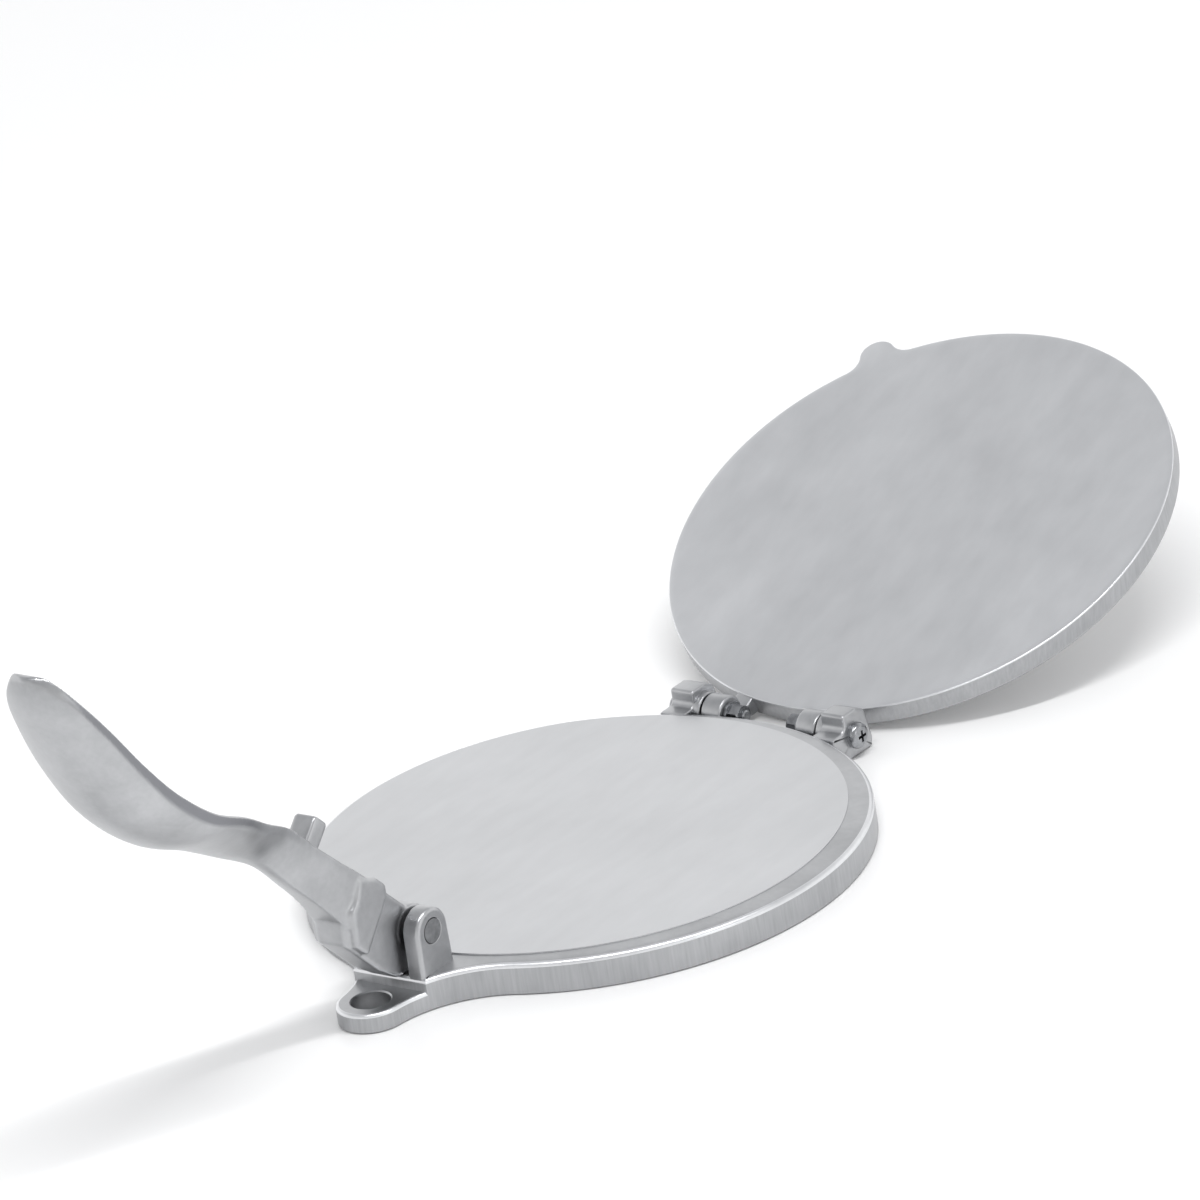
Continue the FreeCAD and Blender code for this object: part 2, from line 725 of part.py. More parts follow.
def make_nut(name):
    body = new_body(name)
    corner_radius = size("nut_flats") / 2 / cosine(30)
    hexagon = [polar(corner_radius, 60 * step) for step in range(6)]
    bore = circle(origin, screw_radius + size("thread_clearance"))
    sketch = new_sketch(body, name + "_hexagon", "XY_Plane", polygon(hexagon) + [bore])
    pad(body, name + "_blank", sketch, "Sizes.nut_height")
    height = size("nut_height")
    drop = size("nut_corner_drop")
    flat_edge = size("nut_flats") / 2 * (1 + sine(1))
    outside = corner_radius + size("overrun")
    slope = drop / (corner_radius - flat_edge)
    triangle = [
        point(flat_edge, height),
        point(outside, height - slope * (outside - flat_edge)),
        point(outside, height),
    ]
    profile = new_sketch(body, name + "_corner", "XZ_Plane", polygon(triangle))
    cut(body, name + "_corners", "Groove", profile, ReferenceAxis=(origin_feature(body, "Z_Axis"), [""]), Angle=360)
    return body


def make_washer(name):
    body = new_body(name)
    rings = [
        circle(origin, size("washer_radius")),
        circle(origin, screw_radius + size("screw_clearance")),
    ]
    sketch = new_sketch(body, name + "_ring", "XY_Plane", rings)
    pad(body, name + "_disc", sketch, "Sizes.washer_thickness")
    return body


def place_on_hinge(body, side, distance, faces_out):
    # turns the piece's own +Z outwards or inwards along the hinge axis, on the right (1) or the left (-1)
    direction = side if faces_out else -side
    turned = FreeCAD.Rotation(FreeCAD.Vector(0, 1, 0), 90 * direction)
    place = FreeCAD.Vector(side * distance, size("hinge_distance"), size("hinge_height"))
    body.Placement = FreeCAD.Placement(place, turned)


fasteners = []
for side, word in ((1, "right"), (-1, "left")):
    screw = make_screw("hinge_screw_" + word)
    place_on_hinge(screw, side, size("post_inside") + size("post_width"), True)
    nut = make_nut("hinge_nut_" + word)
    place_on_hinge(nut, side, nut_near, False)
    washer = make_washer("hinge_washer_" + word)
    place_on_hinge(washer, side, washer_near, False)
    fasteners += [screw, nut, washer]

# Places of the moving pieces, with the press open, the plate's rear edge just off the table and the lever on its stop

x_axis = FreeCAD.Vector(1, 0, 0)
z_axis = FreeCAD.Vector(0, 0, 1)
pivot_place = FreeCAD.Vector(0, -size("pivot_distance"), size("pivot_height"))
hinge_place = FreeCAD.Vector(0, size("hinge_distance"), size("hinge_height"))
no_move = FreeCAD.Vector(0, 0, 0)
base_plate.Placement = FreeCAD.Placement()
lever_pin.Placement = FreeCAD.Placement(pivot_place, FreeCAD.Rotation())
lever.Placement = FreeCAD.Placement(
    pivot_place, FreeCAD.Rotation(x_axis, -rest_angle) * FreeCAD.Rotation(z_axis, 180))
top_plate.Placement = FreeCAD.Placement(
    no_move, FreeCAD.Rotation(x_axis, -size("open_angle")), hinge_place)
doc.recompute()

# Checks, then one file for each piece

for item in doc.Objects:
    if "Invalid" in item.State or "Error" in item.State:
        raise RuntimeError(item.Name + " failed")
os.makedirs("parts", exist_ok=True)
for body in [base_plate, top_plate, lever, lever_pin] + fasteners:
    shape = body.Shape
    if shape.isNull() or not shape.isValid():
        raise RuntimeError(body.Label + " has no valid shape")
    if len(shape.Solids) != 1:
        raise RuntimeError(body.Label + " isn't one solid")
    shape.exportStep(os.path.join("parts", body.Label + ".step"))
    print(body.Label, "volume %.1f cm3" % (shape.Volume / 1000), shape.BoundBox)
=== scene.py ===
import math

import bpy
import numpy as np
from mathutils import Matrix, Vector


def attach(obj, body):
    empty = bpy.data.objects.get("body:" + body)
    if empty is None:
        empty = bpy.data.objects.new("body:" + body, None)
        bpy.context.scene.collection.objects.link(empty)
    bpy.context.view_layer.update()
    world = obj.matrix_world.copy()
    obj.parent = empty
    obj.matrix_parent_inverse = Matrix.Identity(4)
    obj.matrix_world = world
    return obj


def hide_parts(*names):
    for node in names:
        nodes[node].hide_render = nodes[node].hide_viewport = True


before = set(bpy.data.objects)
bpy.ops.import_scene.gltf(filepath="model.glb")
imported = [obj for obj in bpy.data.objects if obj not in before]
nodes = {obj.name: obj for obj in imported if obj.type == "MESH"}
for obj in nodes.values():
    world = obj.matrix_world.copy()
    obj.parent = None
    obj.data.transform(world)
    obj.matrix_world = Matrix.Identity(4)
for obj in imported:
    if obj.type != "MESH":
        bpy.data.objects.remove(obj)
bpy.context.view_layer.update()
mm = 0.001


# Small helpers for colours and shader nodes

def linearFromHex(text):
    # sRGB to linear: the low end is a straight line, the rest a 2.4 power
    channels = np.array([int(text[i:i + 2], 16) for i in (0, 2, 4)]) / 255
    linear = np.where(channels <= 0.04045, channels / 12.92, ((channels + 0.055) / 1.055) ** 2.4)
    return (*linear.tolist(), 1.0)


def addNode(tree, kind, settings=None, links=None):
    # settings go to the node's own properties or, by name or number, to its inputs; links feed its inputs
    node = tree.nodes.new(kind)
    for key, value in (settings or {}).items():
        if isinstance(key, str) and hasattr(node, key):
            setattr(node, key, value)
        else:
            node.inputs[key].default_value = value
    for key, source in (links or {}).items():
        tree.links.new(source, node.inputs[key])
    return node


# Blender's noise has blobs about half a unit wide at scale 1, and most of its values lie in the tone range
noiseLook = {"blobWidth": 0.5, "roughness": 0.55, "toneRange": (0.3, 0.7)}


def metalFinish(name, look):
    # A metal whose tone is the weighted sum of a coarse and a fine noise, each with its own blob size,
    # detail, stretch and turn. The tone drives a ramp between two colours and a range of roughness, and
    # the fine noise the relief.
    material = bpy.data.materials.new(name)
    material.use_nodes = True
    tree = material.node_tree
    tree.nodes.clear()
    shader = addNode(tree, "ShaderNodeBsdfPrincipled", {"Metallic": 1.0})
    addNode(tree, "ShaderNodeOutputMaterial", None, {"Surface": shader.outputs[0]})
    coordinates = addNode(tree, "ShaderNodeTexCoord")
    place = coordinates.outputs["Object"]
    layers = []
    for size, detail, stretch, turn in (look["coarse"], look["fine"]):
        mapping = addNode(tree, "ShaderNodeMapping",
                          {"Scale": stretch, "Rotation": (0, 0, math.radians(turn))}, {"Vector": place})
        noise = addNode(tree, "ShaderNodeTexNoise",
                        {"Scale": noiseLook["blobWidth"] / size, "Detail": detail,
                         "Roughness": noiseLook["roughness"]}, {"Vector": mapping.outputs[0]})
        layers.append(noise.outputs["Fac"])
    tone = addNode(tree, "ShaderNodeMix", {"Factor": look["fineShare"]}, {"A": layers[0], "B": layers[1]})
    lowTone, highTone = noiseLook["toneRange"]
    spread = addNode(tree, "ShaderNodeMapRange", {"From Min": lowTone, "From Max": highTone},
                     {"Value": tone.outputs[0]})
    ramp = addNode(tree, "ShaderNodeValToRGB", None, {"Fac": spread.outputs[0]})
    ramp.color_ramp.elements[0].color = linearFromHex(look["dark"])
    ramp.color_ramp.elements[1].color = linearFromHex(look["light"])
    tint = ramp.outputs["Color"]
    if "paintedRimShade" in look:
        # painted shade: where the casting faces sideways and lies beyond the reach, along y, its colour is
        # mixed towards a darker grey, for the shade that falls on the spoon's upright rim
        rim = look["paintedRimShade"]
        slanted, upright = rim["facing"]
        start, end = rim["reach"]
        normal = addNode(tree, "ShaderNodeSeparateXYZ", None, {0: coordinates.outputs["Normal"]})
        position = addNode(tree, "ShaderNodeSeparateXYZ", None, {0: place})
        sideways = addNode(tree, "ShaderNodeMapRange", {"From Min": slanted, "From Max": upright},
                           {"Value": normal.outputs[0]})
        along = addNode(tree, "ShaderNodeMapRange", {"From Min": start, "From Max": end},
                        {"Value": position.outputs[1]})
        share = addNode(tree, "ShaderNodeMath", {"operation": "MULTIPLY"},
                        {0: sideways.outputs[0], 1: along.outputs[0]})
        rimShadeMix = addNode(tree, "ShaderNodeMix", {"data_type": "RGBA", 7: linearFromHex(rim["color"])},
                       {0: share.outputs[0], 6: tint})
        tint = rimShadeMix.outputs[2]
    smoothest, dullest = look["roughness"]
    dullness = addNode(tree, "ShaderNodeMapRange", {"To Min": smoothest, "To Max": dullest},
                       {"Value": spread.outputs[0]})
    bump = addNode(tree, "ShaderNodeBump", {"Distance": look["relief"]}, {"Height": layers[1]})
    tree.links.new(tint, shader.inputs["Base Color"])
    tree.links.new(dullness.outputs[0], shader.inputs["Roughness"])
    tree.links.new(bump.outputs[0], shader.inputs["Normal"])
    return material


# Materials

even = (1, 1, 1)

# Tumbled cast aluminium: barrelled with small stones, so the reflections are soft, with a pebbled grain
# of about 1 mm and cloudy patches where the stones rubbed more. On the lever, the spoon's upright rim
# has painted shade: a darker grey where it faces sideways.
castLook = {
    "dark": "A3A4A6", "light": "BCBDBF", "roughness": (0.30, 0.40), "relief": 0.035 * mm, "fineShare": 0.25,
    "coarse": (11 * mm, 3.0, even, 0), "fine": (1.1 * mm, 3.0, even, 0)}
# painted shade for the spoon's upright rim: its darker grey, how far sideways it must face, and its reach
# along y
paintedRimShade = {"color": "85868A", "facing": (0.78, 0.92), "reach": (-0.185, -0.2)}
tumbledCast = metalFinish("tumbledCastAluminium", castLook)
leverCast = metalFinish("tumbledCastLeverRimShade", {**castLook, "paintedRimShade": paintedRimShade})

# Milled aluminium, burnished by use: a bright satin face with clouds some 30 mm wide and faint rubbed
# streaks. The lid's face is painted light: its colours are a little brighter, to make up for the shade it
# hangs in.
milledBaseFace = metalFinish("milledAluminiumBase", {
    "dark": "BDBEC0", "light": "CBCCCE", "roughness": (0.29, 0.36), "relief": 0.03 * mm, "fineShare": 0.4,
    "coarse": (26 * mm, 4.0, even, 0), "fine": (3.5 * mm, 4.0, (1.0, 0.25, 1.0), 20)})
# the lid's face: painted light, its colours a little brighter than the base's to make up for the shade it
# hangs in
milledTopFace = metalFinish("milledAluminiumTop", {
    "dark": "CBCCCE", "light": "DBDCDE", "roughness": (0.29, 0.38), "relief": 0.03 * mm, "fineShare": 0.4,
    "coarse": (30 * mm, 4.0, even, 0), "fine": (4.5 * mm, 4.0, (1.0, 0.25, 1.0), -35)})

# Linished aluminium: the side walls ground on a belt, which leaves fine upright scratches about 0.5 mm
# apart
linishedWall = metalFinish("linishedAluminium", {
    "dark": "9FA0A2", "light": "B6B7B9", "roughness": (0.34, 0.44), "relief": 0.05 * mm, "fineShare": 0.6,
    "coarse": (8 * mm, 2.0, even, 0), "fine": (0.5 * mm, 3.0, (1.0, 1.0, 0.06), 0)})

# Rounded edges with a painted highlight: a paler colour than the walls, and a little glossier, so
# that they draw the lamp as a white line
highlightEdgeFinish = metalFinish("aluminiumEdgePaintedHighlight", {
    "dark": "D2D3D5", "light": "E2E3E5", "roughness": (0.31, 0.36), "relief": 0.005 * mm, "fineShare": 0.3,
    "coarse": (9 * mm, 2.0, even, 0), "fine": (0.9 * mm, 3.0, even, 0)})

# Ground steel of the pin, a little dull on its ends
groundSteel = metalFinish("groundSteel", {
    "dark": "7E7F81", "light": "A3A4A6", "roughness": (0.30, 0.46), "relief": 0.03 * mm, "fineShare": 0.5,
    "coarse": (4 * mm, 2.0, even, 0), "fine": (0.9 * mm, 3.0, even, 0)})

# Zinc-plated steel of the screws, nuts and washers: blue-grey and glossy, with duller clouds
platedSteel = metalFinish("zincPlatedSteel", {
    "dark": "77787B", "light": "ADAFB2", "roughness": (0.16, 0.30), "relief": 0.04 * mm, "fineShare": 0.5,
    "coarse": (4 * mm, 2.0, even, 0), "fine": (1.2 * mm, 3.0, even, 0)})
print("materials made")


# Surfaces as grids of points in millimetres: rows run along a profile, columns run round it

outlineSpacing = 0.7  # between the points of an outline
leastSpacing = outlineSpacing * 0.15  # nearer points are left out
roundSteps = 5  # rows on a rounded edge
faceInset = 0.15  # how far inside its rounded edge a face's first row lies
sharpAngle = 32.0  # degrees; edges that turn by more are shaded sharp
castSkin, milledFace, groundWall, brightEdge = range(4)  # material numbers on the two plates
fullTurn = np.linspace(0, 2 * np.pi, 97)[:-1]


def closedShell(grid, loop=False):
    # joins a grid's neighbours into quads, all the way round its columns; a loop also joins its last row
    # to its first, and otherwise each end row is closed by a fan to its middle. Returns points, triangles
    # and each triangle's row, turned so that the volume inside counts as positive.
    rowCount, columnCount = grid.shape[:2]
    bandCount = rowCount if loop else rowCount - 1
    row, column = np.meshgrid(np.arange(bandCount), np.arange(columnCount), indexing="ij")
    nextRow, nextColumn = (row + 1) % rowCount, (column + 1) % columnCount
    corners = [r * columnCount + c for r, c in
               ((row, column), (row, nextColumn), (nextRow, nextColumn), (nextRow, column))]
    quads = np.stack(corners, -1).reshape(-1, 4)
    points = grid.reshape(-1, 3)
    triangles = np.concatenate([quads[:, [0, 1, 2]], quads[:, [0, 2, 3]]])
    rows = np.concatenate([row.ravel(), row.ravel()])
    if not loop:
        around = np.arange(columnCount)
        last = (rowCount - 1) * columnCount
        count = len(points)
        points = np.concatenate([points, np.array([grid[0].mean(0), grid[-1].mean(0)])])
        nextAround = (around + 1) % columnCount
        firstFan = np.stack([np.full(columnCount, count), nextAround, around], -1)
        lastFan = np.stack([np.full(columnCount, count + 1), last + around, last + nextAround], -1)
        triangles = np.concatenate([triangles, firstFan, lastFan])
        rows = np.concatenate([rows, np.zeros(columnCount, int), np.full(columnCount, rowCount - 2)])
    a, b, c = (points[triangles[:, k]] for k in range(3))
    if (a * np.cross(b, c)).sum() < 0:
        triangles = triangles[:, ::-1]
    return points, triangles, rows


def addPiece(name, shells, materials, body, replaced):
    # one mesh from shells of (points, triangles, material number of each triangle), in millimetres
    starts = np.cumsum([0] + [len(shell[0]) for shell in shells[:-1]])
    points = np.concatenate([shell[0] for shell in shells]) * mm
    triangles = np.concatenate([shell[1] + start for shell, start in zip(shells, starts)])
    numbers = np.concatenate([shell[2] for shell in shells])
    mesh = bpy.data.meshes.new(name)
    mesh.from_pydata(points, [], triangles.tolist())
    for material in materials:
        mesh.materials.append(material)
    mesh.polygons.foreach_set("material_index", numbers.astype(np.int32))
    mesh.polygons.foreach_set("use_smooth", np.ones(len(triangles), bool))
    mesh.set_sharp_from_angle(angle=math.radians(sharpAngle))
    mesh.update()
    piece = bpy.data.objects.new(name, mesh)
    bpy.context.scene.collection.objects.link(piece)
    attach(piece, body)
    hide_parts(replaced)
    return piece


def plain(shell):
    # a shell that is cast skin all over
    return shell[0], shell[1], np.full(len(shell[1]), castSkin)


def circlePoints(center, radius, angles):
    # centre plus radius times the cosine and the sine
    return np.stack([center[0] + radius * np.cos(angles), center[1] + radius * np.sin(angles)], -1)


def spacedOutline(points):
    # a closed polygon's corners and the points at even lengths along it, without those that almost
    # coincide
    closed = np.concatenate([points, points[:1]])
    lengths = np.concatenate([[0], np.cumsum(np.linalg.norm(np.diff(closed, axis=0), axis=1))])
    spaced = np.arange(0, lengths[-1] - outlineSpacing / 2, outlineSpacing)
    wanted = np.unique(np.round(np.concatenate([lengths[:-1], spaced]), 3))
    wanted = wanted[np.concatenate([[True], np.diff(wanted) > leastSpacing])]
    return np.stack([np.interp(wanted, lengths, closed[:, k]) for k in (0, 1)], -1)


def filletedOutline(corners, radii, steps=7):
    # a closed polygon whose corners are arcs of the given radii: each arc touches both sides, and its
    # centre lies on the line that halves the corner. The result is spaced evenly by length.
    corners = np.array(corners, float)
    radii = np.array(radii, float).reshape(-1, 1)
    before = np.roll(corners, 1, 0) - corners
    after = np.roll(corners, -1, 0) - corners
    before /= np.linalg.norm(before, axis=1, keepdims=True)
    after /= np.linalg.norm(after, axis=1, keepdims=True)
    half = np.arccos(np.clip((before * after).sum(1), -1, 1)).reshape(-1, 1) / 2
    toCenter = (before + after) / np.linalg.norm(before + after, axis=1, keepdims=True)
    centers = corners + toCenter * radii / np.sin(half)
    first = (corners + before * radii / np.tan(half) - centers) / radii
    final = (corners + after * radii / np.tan(half) - centers) / radii
    swing = (np.pi - 2 * half)[:, None, :]
    share = np.linspace(0, 1, steps)[None, :, None]
    blend = np.sin((1 - share) * swing) * first[:, None] + np.sin(share * swing) * final[:, None]
    points = centers[:, None] + radii[:, None] * (blend / np.sin(swing))
    return spacedOutline(points.reshape(-1, 2))


def outwardNormals(outline):
    # square to the line between a point's two neighbours, and turned out of the polygon by the sign of
    # its area
    along = np.roll(outline, -1, 0) - np.roll(outline, 1, 0)
    normals = np.stack([along[:, 1], -along[:, 0]], -1)
    normals /= np.linalg.norm(normals, axis=1, keepdims=True)
    area = (outline[:, 0] * np.roll(outline[:, 1], -1) - outline[:, 1] * np.roll(outline[:, 0], -1)).sum()
    return normals if area > 0 else -normals


def roundedWall(outline, low, high, lowRound, highRound):
    # rows up the side of a prism: a quarter circle out from the low face, the straight wall, and a
    # quarter circle back in to the high face. Each point lies inside the outline by the round times one
    # minus a cosine. The first and the last row lie on the faces just inside the rounds, and keep the
    # shading of the faces flat.
    normals = outwardNormals(outline)
    turn = np.radians(np.linspace(90, 0, roundSteps))
    inset = np.concatenate([[lowRound + faceInset], lowRound * (1 - np.cos(turn)),
                            highRound * (1 - np.cos(turn[::-1])), [highRound + faceInset]])
    height = np.concatenate([[low], low + lowRound * (1 - np.sin(turn)),
                             high - highRound * (1 - np.sin(turn[::-1])), [high]])
    plan = outline[None] - normals[None] * inset[:, None, None]
    return np.concatenate([plan, np.broadcast_to(height[:, None, None], (*plan.shape[:2], 1))], -1)


def drilledPrism(outline, center, holeRadius, low, high, rounds, holeRound=0.3):
    # a prism with a round hole: up the rounded outside, then back down the hole, whose points lie on the
    # lines from its centre to the outline's points
    wall = roundedWall(outline, low, high, *rounds)
    away = outline - np.array(center)
    away /= np.linalg.norm(away, axis=1, keepdims=True)
    radii = np.array([holeRadius + holeRound, holeRadius, holeRadius, holeRadius + holeRound])
    heights = np.array([high, high - holeRound, low + holeRound, low])
    plan = np.array(center) + away[None] * radii[:, None, None]
    hole = np.concatenate([plan, np.broadcast_to(heights[:, None, None], (*plan.shape[:2], 1))], -1)
    return np.concatenate([wall, hole])


def standAcross(grid):
    # a prism drawn in the plane of y and z, with its height along x
    return grid[..., [2, 0, 1]]


def mirrored(grid):
    # the same on the other side of the middle
    return grid * np.array([-1, 1, 1])


# Base casting: round plate with tongue, lug, ears and hinge posts; sizes in millimetres, angles in degrees

base = {"radius": 104.4, "rimHeight": 12.0, "crownHeight": 12.6, "crownInset": 11.4,
        "rimRows": [0.2, 0.45, 0.7, 1.0], "discHeight": 12.8, "discRadius": 99.3, "discShift": 5.0,
        "discRows": [0.997, 0.6, 0.2], "discLip": 0.06, "mergeAt": (1.6, 3.2), "leastRim": 0.05,
        "edgeRound": 1.7, "footRound": 0.5, "flankRadius": 42.0, "stepDistance": 118.3,
        "lugDistance": 130.0, "lugRadius": 12.8, "lugHeight": 7.2, "lugHoleRadius": 7.2, "lugRound": 1.3,
        "lugHoleRound": 0.5, "shoulder": 2.4, "shoulderPoints": 12, "sidePoints": 16, "endPoints": 48,
        "reliefDepth": 3.4, "bossRadius": 17.0, "landInset": 12.5, "ribHalf": 4.5,
        "bossRings": [4.0, 12.0], "fieldRings": [24, 34, 46, 58, 70, 80, 87], "landRings": [96, 100],
        "columns": 640, "tongueHalf": 24, "tongueColumns": 193}
flankSide = base["radius"] + base["flankRadius"]
lugSide = base["lugRadius"] + base["flankRadius"]
flankTurn = math.acos((flankSide ** 2 + base["lugDistance"] ** 2 - lugSide ** 2)
                      / (2 * flankSide * base["lugDistance"]))
flankCenter = np.array([flankSide * math.sin(flankTurn), -flankSide * math.cos(flankTurn)])

ribTurn = np.pi / 3  # six ribs, the first at half of this
slopeWidth = 1.0  # of the sides of ribs, boss and rim


def smooth(value):
    # from 0 to 1, level at both ends: three squares less two cubes
    value = np.clip(value, 0, 1)
    return value * value * (3 - 2 * value)


def besideRibs(angles, radius, inner, outer, ribHalf):
    # turns the columns so that those on a rib's two edge lines and at its foot stay there at every
    # radius: between them, and up to the middle of the field, the angle is stretched in proportion
    local = angles % ribTurn - ribTurn / 2
    side, local = np.sign(local), np.abs(local)
    radius = np.clip(radius, inner, outer)
    edgeOut, footOut = np.arcsin(ribHalf / outer), np.arcsin((ribHalf + slopeWidth) / outer)
    edge, foot = np.arcsin(ribHalf / radius), np.arcsin((ribHalf + slopeWidth) / radius)
    onSlope = edge + (local - edgeOut) / (footOut - edgeOut) * (foot - edge)
    inField = foot + (local - footOut) / (ribTurn / 2 - footOut) * (ribTurn / 2 - foot)
    moved = np.where(local < edgeOut, local / edgeOut * edge, np.where(local < footOut, onSlope, inField))
    return angles + side * (moved - local)


def columnAngles(count, outer, ribHalf, denseAt, denseHalf, denseCount):
    # even columns, denser ones round one direction, and the columns on the ribs' edges and feet, without
    # those that almost coincide
    besideRib, nearest = 0.002, 0.0005
    edges = np.arcsin(np.array([ribHalf, ribHalf + slopeWidth]) / outer)
    ribs = (np.radians(np.arange(-150, 180, 60))[:, None] + np.concatenate([edges, -edges])[None]).ravel()
    dense = denseAt + np.radians(np.linspace(-denseHalf, denseHalf, denseCount))
    angles = np.concatenate([np.linspace(-np.pi, np.pi, count + 1)[:-1], dense])
    angles = angles[np.abs(angles[:, None] - ribs[None]).min(1) > besideRib]
    angles = np.sort(np.concatenate([angles, ribs]))
    return angles[np.concatenate([[True], np.diff(angles) > nearest])]


def reliefDepth(x, y, depth, inner, outer, ribHalf):
    # shallow fields between a centre boss, a rim and six straight ribs, with sides one slope wide
    radius = np.hypot(x, y)
    fromRib = np.arctan2(y, x) % ribTurn - ribTurn / 2
    distance = radius * np.abs(np.sin(fromRib))
    fromBoss = smooth((radius - inner) / slopeWidth)
    fromRim = smooth((outer - radius) / slopeWidth)
    fromSide = smooth((distance - ribHalf) / slopeWidth)
    return depth * fromBoss * fromRim * fromSide


def tongueRadius(angles):
    # distance of the outline from the centre: the step's straight line in front, then the concave flank,
    # met where a ray first enters the flank's circle, and the round plate elsewhere
    beyond = 1000.0
    front = np.abs((angles + np.pi / 2 + np.pi) % (2 * np.pi) - np.pi)
    along = np.sin(front) * flankCenter[0] - np.cos(front) * flankCenter[1]
    inside = along ** 2 - (flankSide ** 2 - base["flankRadius"] ** 2)
    flank = along - np.sqrt(np.clip(inside, 0, None))
    radius = np.where(front < flankTurn, np.where(inside > 0, flank, beyond), base["radius"])
    step = np.where(front < 1, base["stepDistance"] / np.cos(np.minimum(front, 1)), beyond)
    return np.minimum(radius, step)


def basePlateShell():
    # rows from the middle of the underside out over its relief, up the wall, in over the rim, whose
    # height rises with the distance from the edge, and on to the middle of the machined disc, which is
    # set to one side
    reliefOuter = base["radius"] - base["landInset"]
    angles = columnAngles(base["columns"], reliefOuter, base["ribHalf"], -np.pi / 2, base["tongueHalf"],
                          base["tongueColumns"])
    direction = np.stack([np.cos(angles), np.sin(angles)], -1)
    outer = tongueRadius(angles)
    outline = direction * outer[:, None]
    toDisc = -base["discShift"] * direction[:, 0]
    disc = toDisc + np.sqrt(toDisc ** 2 - base["discShift"] ** 2 + base["discRadius"] ** 2)
    # the rim is as high as the disc where the disc runs out to the wall
    near, far = base["mergeAt"]
    edgeTop = (base["rimHeight"] + (base["discHeight"] - base["rimHeight"])
               * smooth((far - (outer - disc)) / (far - near)))
    wall = roundedWall(outline, 0, 1, base["footRound"], base["edgeRound"])[1:-1]
    turn = np.radians(np.linspace(90, 0, roundSteps))
    wall[:roundSteps, :, 2] = base["footRound"] * (1 - np.sin(turn))[:, None]
    wall[roundSteps:, :, 2] = edgeTop[None] - base["edgeRound"] * (1 - np.sin(turn[::-1]))[:, None]
    edge = wall[-1, :, :2]
    discEdge = direction * np.minimum(disc, np.linalg.norm(edge, axis=1) - base["leastRim"])[:, None]
    inwards = np.array(base["rimRows"])[:, None, None]
    rimPlan = edge[None] * (1 - inwards) + discEdge[None] * inwards
    fromEdge = np.clip((base["radius"] - np.linalg.norm(rimPlan, axis=-1)) / base["crownInset"], 0, 1)
    crown = base["rimHeight"] + (base["crownHeight"] - base["rimHeight"]) * fromEdge
    rim = np.concatenate([rimPlan, np.maximum(edgeTop[None], crown)[..., None]], -1)
    face = np.concatenate([(discEdge - direction * base["discLip"])[None],
                           np.array(base["discRows"])[:, None, None] * discEdge[None]])
    faceRows = np.concatenate([face, np.full((*face.shape[:2], 1), base["discHeight"])], -1)
    # rings lie close together on the slopes of the boss and the rim
    rings = np.concatenate([base["bossRings"], base["bossRadius"] + np.arange(-1.0, 2.0, 0.5),
                            base["fieldRings"], reliefOuter + np.arange(-1.5, 1.0, 0.5),
                            base["landRings"]])[:, None]
    turned = besideRibs(angles[None], rings, base["bossRadius"], reliefOuter, base["ribHalf"])
    under = rings[..., None] * np.stack([np.cos(turned), np.sin(turned)], -1)
    underTop = reliefDepth(under[..., 0], under[..., 1], base["reliefDepth"], base["bossRadius"], reliefOuter,
                           base["ribHalf"])
    underRows = np.concatenate([under, underTop[..., None]], -1)
    points, triangles, rows = closedShell(np.concatenate([underRows, wall, rim, faceRows]))
    wallStart = len(underRows)
    roundStart = wallStart + roundSteps
    faceStart = wallStart + len(wall) + len(rim)
    numbers = np.full(len(rows), castSkin)
    numbers[rows >= faceStart - 1] = milledFace
    numbers[(rows >= wallStart) & (rows < roundStart)] = groundWall
    # the rounded top edge takes the paler edge colour, a painted highlight
    numbers[(rows >= roundStart) & (rows < roundStart + roundSteps - 1)] = brightEdge
    return points, triangles, numbers


def lugShell():
    # the outline follows the flank's circle from the step to where it touches the lug's circle, then the
    # lug's circle round to the other side; a hole goes through the lug's centre
    touch = base["lugRadius"] / lugSide
    tangent = flankCenter * touch + np.array([0, -base["lugDistance"]]) * (1 - touch)
    sideY = np.linspace(-base["stepDistance"], tangent[1], base["sidePoints"])
    sideX = flankCenter[0] - np.sqrt(base["flankRadius"] ** 2 - (sideY - flankCenter[1]) ** 2)
    # the hidden end inside the tongue turns in by an arc that starts square to the flank
    corner = np.array([sideX[0], sideY[0]])
    outward = (flankCenter - corner) / base["flankRadius"]
    shoulderAngles = np.linspace(np.pi / 2, math.atan2(outward[1], outward[0]), base["shoulderPoints"])[:-1]
    shoulder = circlePoints(corner - base["shoulder"] * outward, base["shoulder"], shoulderAngles)
    startAngle = math.atan2(tangent[1] + base["lugDistance"], tangent[0])
    endAngles = np.linspace(startAngle, -np.pi - startAngle, base["endPoints"])[1:-1]
    end = circlePoints((0, -base["lugDistance"]), base["lugRadius"], endAngles)
    right = np.concatenate([shoulder, np.stack([sideX, sideY], -1)])
    outline = spacedOutline(np.concatenate([right, end, (right * [-1, 1])[::-1]]))
    grid = drilledPrism(outline, (0, -base["lugDistance"]), base["lugHoleRadius"], 0, base["lugHeight"],
                        (base["footRound"], base["lugRound"]), base["lugHoleRound"])
    points, triangles, rows = closedShell(grid, True)
    numbers = np.full(len(rows), castSkin)
    numbers[(rows >= 1) & (rows < 1 + roundSteps)] = groundWall
    # the lug's rounded top edge takes the paler edge colour, a painted highlight
    numbers[(rows >= 1 + roundSteps) & (rows < 2 * roundSteps)] = brightEdge
    return points, triangles, numbers


ear = {"pivot": (-108.9, 27.0), "inside": 8.7, "outside": 15.6, "round": 8.6, "foot": 9.2, "footHeight": 7.3,
       "footRound": 2.5, "hole": 4.65, "edges": (0.8, 1.5)}


